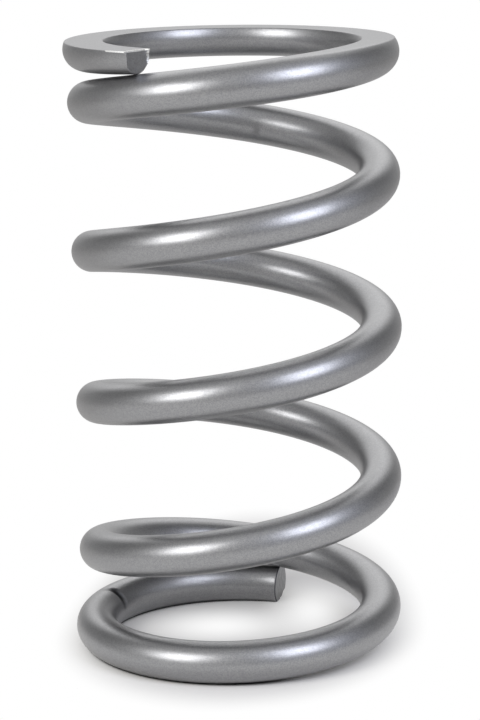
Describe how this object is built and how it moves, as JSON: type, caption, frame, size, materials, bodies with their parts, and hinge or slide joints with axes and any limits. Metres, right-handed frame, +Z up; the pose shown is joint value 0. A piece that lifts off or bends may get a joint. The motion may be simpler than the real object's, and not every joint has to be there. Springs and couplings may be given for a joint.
{
  "type": "helical compression spring",
  "caption": "Heavy right-hand helical compression spring of round steel bar, closed at both ends, ground flat at the top and dressed at the foot, in silver powder coat.",
  "frame": {"origin": "on the coil's axis, on the floor plane that the dressed lower end stands on", "axes": "+Z up along the coil's axis, from the lower end to the ground upper seat; +X to the right and -Y towards the viewer, as pictured"},
  "size_m": [0.1286, 0.1294, 0.2383],
  "materials": {
    "silver_powder_coat": "satin"
  },
  "bodies": {
    "root": {"coil_spring": "silver_powder_coat"}
  },
  "joints": []
}
